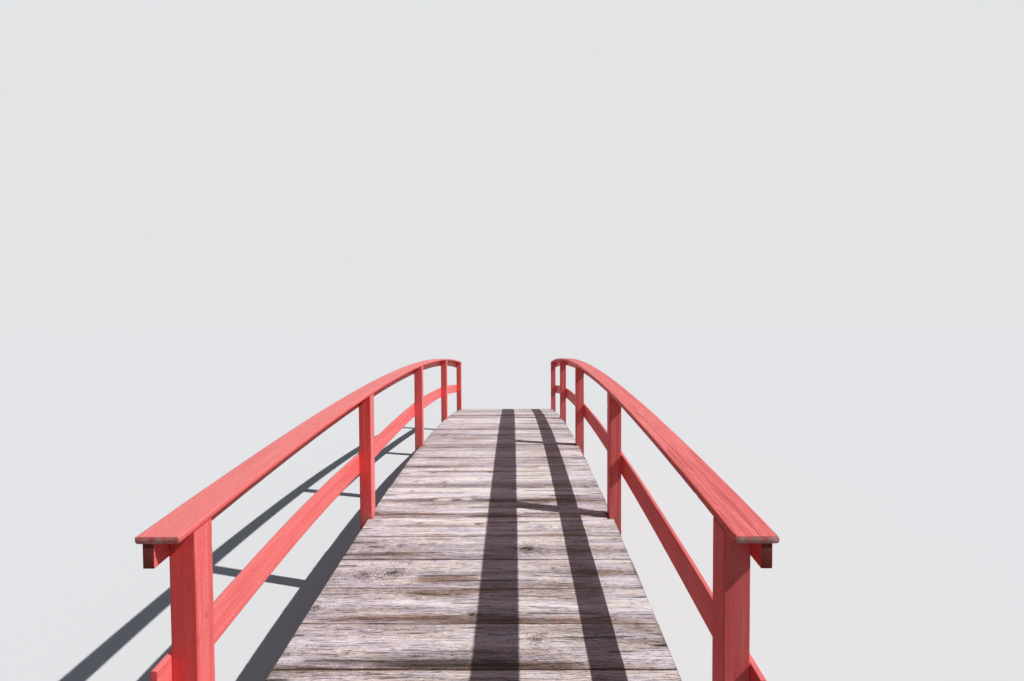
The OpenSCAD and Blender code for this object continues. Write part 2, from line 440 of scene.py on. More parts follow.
paintFinish = {
    # Deep red for faces turned away from the key lamp and paler red for faces turned to it: real sun bleaching, with
    # painted light and shade on top
    "freshAndShaded": (0.83, 0.063, 0.058, 1),
    "fadedAndLit": (0.905, 0.225, 0.212, 1),
    "deep": (0.44, 0.035, 0.03, 1),
    "bareWood": (0.36, 0.19, 0.155, 1),
    "grime": (0.40, 0.20, 0.155, 1),
    "crack": (0.10, 0.010, 0.008, 1),
    "ironRust": (0.12, 0.035, 0.02, 1),
    "fadedAndLitWay": (0.50, -0.19, 0.74),  # the side turned to the sun, where the paint is bleached, and to the key lamp, where it is painted paler as light
    "ringWidth": 0.0055,
    "bandWidth": 0.028,
    "streakWidth": 0.0045,
    "bump": 0.0005,
}


def fadedAndLitBySide(tree, unevenness):
    # Paint goes from the deep red to the paler red by how far the surface's own normal turns to the sunny side: sun
    # bleaching, and painted light and shade, since that side is also the key lamp's side
    inputs = {0: objectPlace(tree, "Normal"), 1: paintFinish["fadedAndLitWay"]}
    facing = wire("ShaderNodeVectorMath", inputs, "Value", operation="DOT_PRODUCT")
    return mixColour(span(facing + unevenness, 0.12, 0.72), paintFinish["freshAndShaded"], paintFinish["fadedAndLit"])


def makeRedPaint():
    material, tree = newMaterial("redPaint")
    place, knot = attributes(tree, "grainPlace knot", "Vector")
    weather, fade, edge, grime, crack, bare = attributes(tree, "weather fade edge grime crack bare")
    knots = placeGroup(knotFlow, {"Place": place, "Knot": knot})
    fibre = grainOf(paintFinish, place)
    bands, streaks = fibre["Bands"], fibre["Streaks"]
    # Paler towards the key lamp's side and on posts listed as paler: painted light over sun bleaching
    base = fadedAndLitBySide(tree, span(bands, 0.3, 0.7, (-0.1, 0.1)) + fade - weather * 0.22)
    base = shaded(base, span(bands, 0.3, 0.7, (0.94, 1.04)))

    # The deep paint shows in the rings, streaks and furrows, more on worn boards, and on arrises and knots
    along, across, deep = splitAxes(place)
    furrow = span(noise(joinAxes(along * 2.6, across * 120.0, deep), 1.0, 3.0, 0.6), 0.5, 0.64)
    for share in (fibre["Growth"] * (weather * 0.14 + 0.04), span(streaks, 0.54, 0.78) * (weather * 0.5 + 0.06),
                  furrow * weather * 0.55):
        base = mixColour(share, base, paintFinish["deep"])
    speckle = noise(place, 95.0, 4.0, 0.72)
    base = shaded(base, weighed(1.0, (streaks, 0.22), (fibre["Fibres"], 0.15), (speckle, 0.6)))
    arris = span(edge, 0.004, 0.0005) * span(streaks, 0.35, 0.65, (0.08, 0.4))
    for share in (arris, calc("MAXIMUM", knots["Rings"] * 0.25, knots["Core"] * 0.4)):
        base = mixColour(share, base, paintFinish["deep"])
    grimy = grime * span(noise(place, 60.0, 3.0), 0.35, 0.65) * 0.7
    base = mixColour(grimy, base, paintFinish["grime"])
    checks = fibre["Checks"] * weather * 0.85
    base = mixColour(calc("MAXIMUM", checks, crack), base, paintFinish["crack"])
    chips = span(bare + span(noise(place, 300.0, 2.0, 0.6), 0.3, 0.7, (-0.2, 0.2)), 0.45, 0.55)
    base = mixColour(chips, base, paintFinish["bareWood"])
    roughness = calc("MAXIMUM", span(streaks, 0.3, 0.8, (0.5, 0.66)), chips * 0.9)
    ridges = weighed(0.0, (streaks, 0.8), (speckle, 0.6), (fibre["Growth"], 0.2))
    ridges += 0.5 * knots["Core"] - 0.8 * chips - 1.5 * checks
    return fillShader(material, base, roughness, ridges, paintFinish["bump"])


def makePaintedIron():
    # Nail and bolt heads painted with the timber: the same paint, worn to rust in small spots
    material, tree = newMaterial("paintedIron")
    place = objectPlace(tree)
    speckle = noise(place, 330.0, 3.0, 0.6)
    # Paler on the side turned to the key lamp: painted light over sun bleaching
    base = shaded(fadedAndLitBySide(tree, 0.0), span(speckle, 0.3, 0.7, (0.72, 0.92)))
    base = mixColour(span(noise(place, 160.0), 0.56, 0.64, (0.0, 0.85)), base, paintFinish["ironRust"])
    return fillShader(material, base, 0.5, speckle, 0.0005)


zincFinish = {
    "nailZinc": {"bright": (0.34, 0.32, 0.31, 1), "dull": (0.16, 0.135, 0.12, 1), "metallic": 0.35},
    "boltZinc": {"bright": (0.52, 0.52, 0.52, 1), "dull": (0.30, 0.29, 0.28, 1), "metallic": 0.8},
    "brown": (0.17, 0.075, 0.035, 1),  # where water stands
    "roughness": 0.55,
    "bump": 0.0004,
}


def makeZinc(name):
    # Galvanised fixings: dull blotches of zinc, browned where water stands
    material, tree = newMaterial(name)
    place, finish = objectPlace(tree), zincFinish[name]
    blotch = noise(place, 240.0, 3.0, 0.6)
    base = mixColour(span(blotch, 0.4, 0.62), finish["bright"], finish["dull"])
    base = mixColour(span(noise(place, 120.0, 3.0), 0.54, 0.66, (0.0, 0.8)), base, zincFinish["brown"])
    return fillShader(material, base, zincFinish["roughness"], blotch, zincFinish["bump"], finish["metallic"])


frameFinish = {
    "stringerTimber": {"dry": (0.27, 0.205, 0.145, 1), "wet": (0.155, 0.108, 0.07, 1)},
    "crossTimber": {"dry": (0.25, 0.19, 0.135, 1), "wet": (0.15, 0.105, 0.07, 1)},
    "sillTimber": {"dry": (0.175, 0.13, 0.095, 1), "wet": (0.09, 0.066, 0.045, 1)},
    "streak": (0.075, 0.052, 0.035, 1),
    "run": (0.085, 0.065, 0.048, 1),  # where rain runs down from the deck's joints
    "damp": (0.07, 0.066, 0.04, 1),  # at the foot
    "crack": (0.02, 0.015, 0.01, 1),
    "grain": {"Ring Width": 0.0065, "Band Width": 0.045, "Streak Width": 0.006},
    "curvedPith": (-0.17, -0.055, 0.008),
    "straightPith": (-0.20, -0.12, 0.01),
    "roughness": 0.85,
    "bump": 0.001,
}


def makeFrameTimber(name):
    # Unpainted structural timber. Its grain runs along the arch, or else straight across the bridge
    material, tree = newMaterial(name)
    x, y, z = splitAxes(objectPlace(tree))

    def localTo(axis, step):  # the place measured from the nearest whole step
        return calc("ROUND", axis / step) * -step + axis

    rise = distanceOf(y, z - centreHeight) - arch["radius"]
    dry, wet = frameFinish[name]["dry"], frameFinish[name]["wet"]
    if name == "stringerTimber":
        flow, pith, seed = joinAxes(y, rise, localTo(x, arch["stringerX"])), frameFinish["curvedPith"], x * 0.21
    else:
        flow, pith, seed = joinAxes(x, z, localTo(y, arch["bay"])), frameFinish["straightPith"], y * 0.13
    fibre = placeGroup(grain, {"Flow": flow, "Pith": pith, "Seed": seed, **frameFinish["grain"]})
    base = mixColour(span(fibre["Bands"], 0.35, 0.7), dry, wet)
    base = mixColour(fibre["Growth"] * 0.5, base, wet)
    base = mixColour(span(fibre["Streaks"], 0.5, 0.8, (0.0, 0.6)), base, frameFinish["streak"])
    base = shaded(base, span(fibre["Fibres"], 0.3, 0.7, (0.88, 1.1)))
    water = noise(joinAxes(x * 38.0, y * 38.0, rise * 3.0), 1.0, 3.0, 0.6)
    runs = span(water, 0.5, 0.66) * span(rise, -0.3, -0.04, (0.15, 0.75))
    base = mixColour(runs, base, frameFinish["run"])
    base = mixColour(span(water * 0.05 + z, 0.15, 0.04, (0.0, 0.6)), base, frameFinish["damp"])
    base = mixColour(fibre["Checks"], base, frameFinish["crack"])
    ridges = fibre["Streaks"] + 0.5 * fibre["Growth"] - 1.5 * fibre["Checks"]
    return fillShader(material, base, frameFinish["roughness"], ridges, frameFinish["bump"])


deckTimber, deckUnder = makeDeckTimber("deckTimber", deckFinish), makeDeckTimber("deckUnder", underFinish)
deckEnd, capEnd, paintedEnd, paintedShadeEnd = (makeSawnEnd(name, finish) for name, finish in sawnEnds.items())
redPaint, paintedIron = makeRedPaint(), makePaintedIron()
nailZinc, boltZinc = makeZinc("nailZinc"), makeZinc("boltZinc")
stringerTimber, crossTimber = makeFrameTimber("stringerTimber"), makeFrameTimber("crossTimber")
sillTimber = makeFrameTimber("sillTimber")
print("stage: materials made")

deck = {
    "pitch": 0.2775,  # from plank joint to plank joint, along the arch
    "gap": 0.0025,
    "thickness": 0.038,
    "halfLength": 0.934,
    "shift": 0.039,  # the joint nearest the crown
    "least": 0.06,  # narrowest strip laid at an end
    "over": 0.295,  # past the end posts
    "notchLeft": 0.004,
    "notchRight": 0.015,
    "rounding": 0.0026,
    "columnStep": 0.0125,
    "stationStep": 0.023,
    "edgePlaces": (0, 0.0008, 0.002, 0.0038, 0.009),  # columns of points beside each edge
    "tipPlaces": (0, 0.0008, 0.002, 0.0045, 0.014),  # and beside each sawn end
    "cup": 0.0016,
    "sink": 0.001,  # how far a plank may lie below the next
    "unevenness": (0.0005, 0.0007),  # over short and long ways
    "sway": (0.006, 0.0025),  # of the grain, over long and short ways
    "trim": 0.005,  # how far a plank's sawn end may stop short
    "crackHalf": (0.001, 0.0048),  # narrow and wide ones
    "crackDepth": 0.007,
    "crackClear": (0.012, 0.007, 0.011),  # least way to the plank's edge, to a fixed column and to the next crack
    "nailIn": 0.042,  # from the plank's edge
    "nailSpread": 0.005,
}
notchX = (-arch["walkHalf"] + deck["notchLeft"], arch["walkHalf"] - deck["notchRight"])  # across the bridge

# Knots that stand out: place across and along the bridge, and radius
deckKnots = [
    (-0.731, -2.608, 0.023), (-0.576, -2.592, 0.025), (-0.581, -2.304, 0.012), (0.271, -2.330, 0.028),
    (-0.091, -2.005, 0.017), (0.160, -1.980, 0.020), (0.448, -2.052, 0.012), (-0.719, -1.194, 0.012),
    (-0.709, -1.422, 0.011), (-0.471, -1.578, 0.014), (-0.166, -1.562, 0.015), (0.810, -1.343, 0.012),
    (-0.908, -2.879, 0.017), (0.42, -2.55, 0.012), (0.30, -3.11, 0.020), (-0.62, -3.19, 0.010),
    (-0.505, -1.585, 0.012), (-0.52, -1.995, 0.011), (-0.62, -0.50, 0.014),
]

# Stains that stand out: middle across and along, half length, half width, strength
deckStains = [
    (0.05, -2.978, 0.95, 0.034, 1.0), (-0.23, -2.65, 0.20, 0.035, 0.8), (-0.24, -2.782, 0.22, 0.026, 0.85),
    (0.02, -3.262, 0.46, 0.019, 1.0), (-0.4, -3.286, 0.55, 0.006, 1.0), (-0.55, -3.255, 0.35, 0.012, 0.55),
    (0.15, -2.70, 0.55, 0.02, 0.5), (0.72, -2.585, 0.25, 0.05, 0.6), (-0.3, -2.035, 0.5, 0.026, 0.65),
    (0.35, -2.10, 0.35, 0.03, 0.5),
    (0.0, -2.16, 0.8, 0.014, 0.6), (-0.1, -1.86, 1.0, 0.03, 0.7), (-0.2, -2.41, 0.7, 0.016, 0.5),
    (-0.1, -1.60, 0.9, 0.02, 0.55), (0.2, -1.30, 0.8, 0.022, 0.5), (-0.1, -0.95, 0.8, 0.03, 0.45),
    (0.3, -0.30, 0.7, 0.03, 0.45), (-0.55, 0.27, 0.4, 0.09, 0.5), (0.1, 1.1, 0.9, 0.03, 0.6),
    (-0.3, 2.05, 0.7, 0.04, 0.6), (0.25, 2.98, 0.9, 0.035, 0.8), (-0.2, 3.6, 0.8, 0.05, 0.6),
]

# Places bleached pale: middle across and along, half length, half width, strength
deckPale = [
    (-0.655, -2.612, 0.05, 0.014, 1.0), (-0.42, -2.845, 0.05, 0.02, 0.9), (-0.30, -2.882, 0.28, 0.006, 0.9),
    (-0.86, -2.879, 0.09, 0.012, 0.7), (-0.12, -3.146, 0.08, 0.018, 0.7), (-0.583, -3.188, 0.06, 0.016, 0.8),
    (-0.5, -3.06, 0.75, 0.035, 0.1), (0.25, -2.87, 0.5, 0.05, 0.4), (-0.4, -2.72, 0.5, 0.02, 0.3),
    (-0.5, -2.50, 0.7, 0.03, 0.7), (0.5, -2.46, 0.4, 0.03, 0.6), (-0.2, -2.22, 0.8, 0.03, 0.7),
    (0.35, -1.93, 0.5, 0.02, 0.7), (-0.4, -1.68, 0.6, 0.03, 0.6), (0.3, -1.45, 0.6, 0.04, 0.6),
    (0.0, -1.08, 0.8, 0.05, 0.6), (0.2, 0.5, 0.6, 0.05, 0.6), (-0.3, 1.6, 0.7, 0.05, 0.6),
    (-0.52, -1.95, 0.25, 0.015, 1.0), (0.2, -1.92, 0.3, 0.018, 1.0),
]

# Splintered wood that shows almost white: the same five values
deckSplinters = [
    (-0.41, -1.602, 0.07, 0.024, 1.0), (-0.21, -1.588, 0.05, 0.024, 0.8), (-0.19, -2.148, 0.03, 0.02, 1.0),
    (-0.12, -2.012, 0.04, 0.02, 0.9), (0.455, -2.055, 0.05, 0.024, 1.0), (-0.64, -1.937, 0.16, 0.016, 0.6),
    (-0.415, -2.855, 0.05, 0.016, 0.8), (-0.16, -2.876, 0.12, 0.011, 0.7), (0.47, -0.84, 0.05, 0.035, 0.9),
    (-0.82, -0.56, 0.07, 0.04, 0.6), (-0.903, -2.87, 0.06, 0.014, 0.5), (0.15, -1.99, 0.05, 0.03, 0.6),
]

deckTones = {-12: 0.3, -11: 0.35}  # planks that are darker or paler than most, from 0 to 1

# Long cracks that stand out: middle across and along, half length, and share of the full depth
deckCracks = [
    (-0.30, -3.238, 0.62, 1.0), (-0.12, -3.262, 0.4, 0.9), (-0.75, -2.311, 0.07, 0.8), (-0.37, -2.313, 0.19, 1.0),
    (-0.20, -2.619, 0.20, 0.7), (0.55, -3.10, 0.2, 0.6), (0.1, -1.74, 0.4, 0.6), (-0.5, -1.46, 0.3, 0.7),
]

# Soft noise that colours the deck: step across the bridge, step along it, shift from plank to plank, seed
deckNoise = {
    "wander": (0.22, 0.03, 0.0, 31),
    "stain": (0.6, 0.05, 0.0, 37),
    "joints": (0.35, math.inf, 1.3, 43),
    "shadeWide": (1.1, 0.05, 1.0, 47),
    "shadeFine": (0.5, 0.024, 0.0, 53),
    "shadeSlow": (1.7, 0.14, 0.37, 69),
    "bleachFine": (0.7, 0.06, 0.0, 41),
    "bleachWide": (1.3, 0.17, 0.0, 193),
}


def spreadColumns(kept, others, room):
    # Keeps every place in the first list, and those of the second that lie far enough from all of them
    clear = np.abs(others[:, None] - kept[None, :]).min(1) > room
    return np.unique(np.round(np.concatenate([kept, others[clear]]), 6))


def slabFaces(solid):
    # Faces of a slab over a lattice: a top and a bottom quad for each solid cell, and a wall along each open edge
    rows, columns = solid.shape
    index = np.arange((rows + 1) * (columns + 1)).reshape(rows + 1, columns + 1)
    below = index.size
    a, b, c, d = index[:-1, :-1], index[1:, :-1], index[1:, 1:], index[:-1, 1:]
    ring = np.pad(solid, 1)
    walls = [
        (solid & ~ring[:-2, 1:-1], d, a, 1), (solid & ~ring[2:, 1:-1], b, c, 1),
        (solid & ~ring[1:-1, :-2], a, b, 0), (solid & ~ring[1:-1, 2:], c, d, 0),
    ]
    quads = [np.stack([a, b, c, d], -1)[solid], np.stack([a, d, c, b], -1)[solid] + below]
    slots = [np.zeros(len(quads[0]), int), np.full(len(quads[1]), 2)]
    for mask, p, q, slotIndex in walls:
        p, q = p[mask], q[mask]
        quads.append(np.stack([q, p, p + below, q + below], -1))
        slots.append(np.full(len(p), slotIndex))
    return np.concatenate(quads), np.concatenate(slots)


def nearestMark(x, y, marks, stretch, nothing):
    # For each point, the way from the nearest mark to it, and the mark's own third number
    found = np.full(x.shape + (3,), 9.0)
    found[..., 2] = nothing
    best = np.full(x.shape, 1e9)
    for markX, markY, size in marks:
        away = np.hypot((x - markX) * stretch, y - markY) / max(size, 1e-3)
        closer = away < best
        best = np.where(closer, away, best)
        found[closer] = np.stack([x - markX, y - markY, np.full_like(x, size)], -1)[closer]
    return found.reshape(-1, 3)


def spotField(x, y, spots):
    # Soft spots: strength times exp of minus ((x / half length)^4 + (y / half width)^2)
    field = np.zeros_like(x)
    for spotX, spotY, halfX, halfY, strength in spots:
        reach = ((x - spotX) / halfX) ** 4 + ((y - spotY) / halfY) ** 2
        field = np.maximum(field, strength * np.exp(-reach))
    return field


def plankCracks(rng, middle, half, fixed):
    # Cracks seen in the place of this plank, then others at random, and short splits from each sawn end
    toEdge, toFixed, apart = deck["crackClear"]
    cracks = [(arcLength(y) - middle, x, length, share) for x, y, length, share in deckCracks
              if abs(arcLength(y) - middle) < half - toEdge]
    for _ in range(rng.integers(1, 4)):
        cracks.append((rng.uniform(-0.8, 0.8) * half, rng.uniform(-0.9, 0.9), rng.uniform(0.08, 0.4),
                       rng.uniform(0.1, 0.75)))
    for side in (-1, 1):
        cracks.append((rng.uniform(-0.7, 0.7) * half, side * 0.93, rng.uniform(0.05, 0.2), 0.7))
    kept, (narrow, wide) = [], deck["crackHalf"]
    for t, x, length, share in cracks:
        if np.abs(fixed - t).min() > toFixed and all(abs(t - other["t"]) > apart for other in kept):
            kept.append({"t": t, "x": x, "half": length, "share": share, "depth": deck["crackDepth"] * share,
                         "wide": narrow + (wide - narrow) * share})
    return kept


def plankNotches(half, turn):
    # The two lines of each notch round a post, in the plank's own frame at its top face
    radius, reach = arch["radius"], arch["postWidth"] / 2 + deck["notchLeft"]
    edges = [(postY - reach, postY + reach) for postY in postYs]
    lines = [[(y - radius * math.sin(turn)) / math.cos(turn) for y in pair] for pair in edges]
    return [(low, high) for low, high in lines if low < half - 1e-4 and high > -half + 1e-4]


def plankLattice(rng, middle, half, notches):
    # Stations across the bridge and columns along it, closer together beside edges, notches and cracks
    edge, tips = np.array(deck["edgePlaces"]), deck["halfLength"] - np.array(deck["tipPlaces"])
    fixed = [edge - half, half - edge]
    for low, high in notches:
        fixed += [line + side * edge for line, side in ((low, -1), (high, 1)) if -half < line < half]
    fixed = np.concatenate(fixed)
    fixed = fixed[np.abs(fixed) <= half + 1e-9]
    cracks = plankCracks(rng, middle, half, fixed)
    near = np.array([c["t"] + w for c in cracks for w in c["wide"] * np.array([-1, 0, 1])])
    columns = spreadColumns(np.concatenate([fixed, near]), np.arange(-half, half, deck["columnStep"]), 0.005)
    fixed = np.concatenate([-tips, tips] + ([notchX[0] + edge, notchX[1] - edge] if notches else []))
    stations = spreadColumns(fixed, np.arange(-deck["halfLength"], deck["halfLength"], deck["stationStep"]), 0.006)
    return (*np.meshgrid(stations, columns, indexing="ij"), cracks)


def plankOutline(x, t, half, notches):
    # Each point's distance to the plank's four sides and its notches, and which cells of the lattice are wood
    toEdge = np.minimum(np.minimum(half + t, half - t), deck["halfLength"] - np.abs(x))
    cellX, cellT = (x[:-1, :-1] + x[1:, :-1]) / 2, (t[:-1, :-1] + t[:-1, 1:]) / 2
    solid = np.ones(cellX.shape, bool)
    for low, high in notches:
        beside = np.maximum(np.maximum(low - t, t - high), 0)
        for line, side in zip(notchX, (-1, 1)):
            toEdge = np.minimum(toEdge, np.hypot(np.maximum(side * (line - x), 0), beside))
            solid &= ~((side * (cellX - line) > 0) & (cellT > low) & (cellT < high))
    return np.maximum(toEdge, 0), solid


def wornTop(x, t, level, toEdge, number, cracks):
    # The face, less a quarter round along its arrises whose radius changes from place to place, less the cracks
    worn = 1 + 0.45 * softNoise(x / 0.07, t / 0.05 + number, 7) + 0.4 * softNoise(x / 0.3, number, 9)
    worn = worn * deck["rounding"]
    dip = np.maximum(worn - toEdge, 0)
    n = level - (worn - np.sqrt(np.maximum(worn**2 - dip**2, 0)))
    crackMask, halo = np.zeros_like(x), np.zeros_like(x)
    for c in cracks:
        away = np.abs(t - c["t"])
        along = np.clip(1 - np.abs(x - c["x"]) / c["half"], 0, 1) ** 0.5
        along = along * (0.6 + 0.4 * softNoise(x / 0.07, c["t"] * 50, 17))
        n -= (away < 1e-5) * along * c["depth"]
        beside = np.clip(1 - away / (1.3 * c["wide"]), 0, 1)
        crackMask = np.maximum(crackMask, np.minimum(2.4 * beside, 1) * smoothStep(0.1, 0.3, along))
        halo = np.maximum(halo, along * c["share"] * np.exp(-(away / 0.009) ** 2))
    return n, crackMask, halo


def plankFields(number, x, t, y, middle, half, toEdge, halo, nails, rng):
    # What the materials read: the log, the marks near by, and how stained, bleached or dark each point is
    def clouds(name):
        stepX, stepY, shift, seed = deckNoise[name]
        return softNoise(x / stepX, y / stepY + shift * number, seed)

    knots = [(knotX, arcLength(knotY) - middle, size) for knotX, knotY, size in deckKnots]
    knots = [knot for knot in knots if abs(knot[1]) < half + 0.02]
    for _ in range(rng.integers(0, 2) if knots else rng.integers(1, 4)):
        knots.append((rng.uniform(-0.88, 0.88), rng.uniform(-0.8, 0.8) * half, rng.uniform(0.006, 0.016)))
    wander = 1 + 0.35 * clouds("wander")
    stain = np.maximum(spotField(x, y, deckStains) * wander, 0.7 * halo) + 0.35 * smoothStep(0.3, 0.9, clouds("stain"))
    stain += (0.12 + 0.75 * smoothStep(-0.1, 0.7, clouds("joints"))) * np.exp(-toEdge / 0.012)
    shade = clouds("shadeWide") + 0.7 * clouds("shadeFine") + clouds("shadeSlow")
    shade += rng.uniform(-0.9, 0.9) * t / half - 0.5 * np.exp(-toEdge / 0.02)
    bleach = spotField(x, y, deckPale) * wander + 0.4 * smoothStep(0.3, 0.9, clouds("bleachFine"))
    bleach += 0.7 * smoothStep(0.15, 0.75, clouds("bleachWide"))
    pith = (rng.uniform(-0.5, 0.5) * half, -rng.uniform(0.05, 0.16), rng.uniform(-0.02, 0.02))
    nails = [(*nail, rust) for nail, rust in zip(nails, rng.uniform(0, 0.7, len(nails)))]
    return {
        "pith": np.tile(pith, (x.size, 1)),
        "knot": nearestMark(x, t, knots, 0.6, 0.01),
        "nail": nearestMark(x, t, nails, 0.4, 0.0),
        "shade": shade.ravel(),
        "stain": np.clip(stain, 0, 1).ravel(),
        "bleach": np.clip(bleach, 0, 1).ravel(),
        "splinter": spotField(x, y, deckSplinters).ravel(),
        "edge": toEdge.ravel(),
        "seed": np.full(x.size, rng.uniform(0, 1)),
        "tone": np.full(x.size, deckTones.get(number, rng.uniform(0.1, 0.9))),
    }


def plankPiece(number):
    # One plank in its own flat frame: x across the bridge, t along it, n square to the plank
    deckHalf = arcLength(postEndY + deck["over"])
    start = max(-deckHalf, deck["shift"] + number * deck["pitch"] + deck["gap"] / 2)
    stop = min(deckHalf, deck["shift"] + (number + 1) * deck["pitch"] - deck["gap"] / 2)
    middle, half = (start + stop) / 2, (stop - start) / 2
    if stop - start < deck["least"]:
        return None
    radius, turn = arch["radius"], middle / arch["radius"]
    sine, cosine = math.sin(turn), math.cos(turn)
    rng = np.random.default_rng(500 + number)
    notches = plankNotches(half, turn)
    x, t, cracks = plankLattice(rng, middle, half, notches)
    toEdge, solid = plankOutline(x, t, half, notches)

    # The face is cupped, uneven and not quite level with its neighbours
    cup, lift = deck["cup"] * rng.uniform(-0.4, 1.0), -deck["sink"] * rng.uniform(0, 1)

    def faceHeight(px, pt):
        short, long = deck["unevenness"]
        uneven = short * softNoise(px / 0.2, pt / 0.04, 60 + number) + long * softNoise(px / 0.9, number * 3.1, 13)
        return cup * ((pt / half) ** 2 - 1) + uneven + lift

    n, crackMask, halo = wornTop(x, t, faceHeight(x, t), toEdge, number, cracks)

    # The grain wanders: columns between the plank's edges sway together, so the cracks do too
    calm = smoothStep(0.0, 0.04, toEdge)
    if notches:
        calm = calm * smoothStep(0.0, 0.06, np.minimum(x - notchX[0], notchX[1] - x))
    long, short = deck["sway"]
    sway = calm * (long * softNoise(x / 0.45, number * 1.7, 19) + short * softNoise(x / 0.13, t / 0.05, 23))
    ragged = np.abs(0.001 * softNoise(x / 0.02, t / 0.02, 29) * (toEdge < 0.0005))
    trims = rng.uniform(0, deck["trim"], 2)
    sawn = np.where(x < 0, trims[0], trims[1]) * np.sign(x) * smoothStep(0.905, deck["halfLength"], np.abs(x))

    # The bottom keeps the outline, with the notch lines moved so that the notch walls stay upright
    anchors = np.unique([-half, half] + [line for pair in notches for line in pair if -half < line < half])
    lean = np.where(np.abs(np.abs(anchors) - half) < 1e-9, 0.0, deck["thickness"] * math.tan(turn))
    bottom = np.full_like(x, -deck["thickness"])

    def toBridge(px, pt, pn):
        y, z = (radius + pn) * sine + pt * cosine, centreHeight + (radius + pn) * cosine - pt * sine
        return np.stack([px, y, z], -1).reshape(-1, 3)

    points = np.concatenate([toBridge(x - np.sign(x) * ragged - sawn, t + sway - np.sign(t) * ragged, n),
                             toBridge(x - sawn, t + np.interp(t, anchors, lean), bottom)])
    quads, slots = slabFaces(solid)

    # Two nails a stringer, or one in a narrow strip
    nailT = np.array([-1.0, 1.0]) * (half - deck["nailIn"]) if half > 2 * deck["nailIn"] else np.zeros(1)
    nailX = np.array([-1.0, 0.0, 1.0]) * (arch["stringerX"] - 0.002)
    nailX, nailT = (a.ravel() + rng.uniform(-1, 1, a.size) * deck["nailSpread"] for a in np.meshgrid(nailX, nailT))
    heads = toBridge(nailX, nailT, faceHeight(nailX, nailT) - 0.0002)
    y = radius * sine + t * cosine
    fields = plankFields(number, x, t, y, middle, half, toEdge, halo, list(zip(nailX, nailT)), rng)
    values = {key: np.concatenate([field, field]) for key, field in fields.items()}  # for the top and the bottom
    values["grainPlace"] = np.concatenate([np.stack([x, t, depth], -1).reshape(-1, 3) for depth in (n, bottom)])
    values["crack"] = np.append(crackMask, np.zeros(x.size))
    bay = int(np.clip(math.floor((middle + postYs[-1]) / arch["bay"]) + 1, 1, arch["bays"]))
    return {"bay": bay, "points": points, "quads": quads, "slots": slots, "values": values, "heads": heads,
            "ways": np.tile((0.0, sine, cosine), (len(heads), 1))}


def joined(parts):  # the points and quads of several surfaces, as one
    starts = np.cumsum([0] + [len(points) for points, _ in parts[:-1]])
    quads = [faces + start for (_, faces), start in zip(parts, starts)]
    return np.concatenate([points for points, _ in parts]), np.concatenate(quads)


def buildDeck():
    limit = int(arcLength(postEndY + deck["over"]) / deck["pitch"]) + 2
    made = [plank for plank in map(plankPiece, range(-limit, limit + 1)) if plank]
    for bay in range(1, arch["bays"] + 1):
        planks = [plank for plank in made if plank["bay"] == bay]
        points, quads = joined([(plank["points"], plank["quads"]) for plank in planks])
        slots = np.concatenate([plank["slots"] for plank in planks])
        values = {key: np.concatenate([plank["values"][key] for plank in planks]) for key in planks[0]["values"]}
        meshPiece(f"deckPlanks{bay}", points, quads, slots, values, [deckTimber, deckEnd, deckUnder],
                  [f"deck_bay_{bay}"])
        print("stage: planks of bay", bay, "with", 2 * len(quads), "triangles")
    return (np.concatenate([plank[key] for plank in made]) for key in ("heads", "ways"))


deckNailPlaces, deckNailWays = buildDeck()


def sectionRing(wide, high, rounding, step=0.014, corner=4, grooves=()):
    # Outline of a board with rounded corners, anticlockwise. A column a point: its place, its outward way, its distance
    # from the nearest corner, and which groove of the top face has its bottom there, or -1
    parts = []
    halves = ((wide / 2, high / 2), (-wide / 2, high / 2), (-wide / 2, -high / 2), (wide / 2, -high / 2))
    for k, (halfA, halfB) in enumerate(halves):
        angles = k * math.pi / 2 + np.linspace(0, math.pi / 2, corner)
        a = halfA - math.copysign(rounding, halfA) + rounding * np.cos(angles)
        b = halfB - math.copysign(rounding, halfB) + rounding * np.sin(angles)
        parts.append([a, b, np.cos(angles), np.sin(angles), 0 * a, 0 * a - 1])
        length = (wide if k % 2 == 0 else high) - 2 * rounding
        near = min(0.004, length / 4)
        bottoms = wide / 2 - rounding - np.array([across for across, _, _ in grooves if k == 0])
        fixed = (bottoms[:, None] + timberWear["grooveHalf"] * np.array([-1, 0, 1])).ravel()
        fixed = np.append(fixed, (near, length - near))
        places = spreadColumns(fixed, np.arange(step, length - step / 2, step), 0.003)
        cosine, sine = math.cos(angles[-1]), math.sin(angles[-1])
        groove = 0 * places - 1
        for index, bottom in enumerate(bottoms):
            groove[np.abs(places - bottom) < 2e-6] = index
        parts.append([a[-1] - sine * places, b[-1] + cosine * places, cosine + 0 * places, sine + 0 * places,
                      np.minimum(places, length - places), groove])
    ring = np.concatenate(parts, 1)
    if ring.shape[1] % 2:  # the ends are closed in pairs, so an odd ring gets one more point, in its last straight
        extra = (ring[:, -1] + ring[:, -2]) / 2
        extra[5] = -1
        ring = np.insert(ring, ring.shape[1] - 1, extra, 1)
    return ring


def tubeFaces(stations, ring):
    # Quads between neighbouring rings, and each end closed by strips across the ring
    index = np.arange(stations * ring).reshape(stations, ring)
    nextOne = np.roll(index, -1, 1)
    quads = np.stack([index[:-1], nextOne[:-1], nextOne[1:], index[1:]], -1).reshape(-1, 4)
    half = ring // 2
    low, high = np.arange(0, half - 1), ring - 1 - np.arange(0, half - 1)
    first = np.stack([low, high, high - 1, low + 1], -1)
    last = np.stack([low, low + 1, high - 1, high], -1) + (stations - 1) * ring
    return quads, first, last


timberWear = {
    "chipSize": 0.022,  # along the edge
    "chipDepth": 0.0022,
    "chipReach": 0.003,  # round the corner
    "waviness": 0.00022,
    "waveLength": 0.12,
    "endRounding": 0.001,
    "grooveHalf": 0.0009,
    "grooveDepth": 0.004,
    "grooveSway": 0.003,
    "knotSizes": (0.006, 0.013),
    "pithAway": (0.05, 0.13),  # from the section's middle
    "grimeReach": 0.05,  # above the deck
}


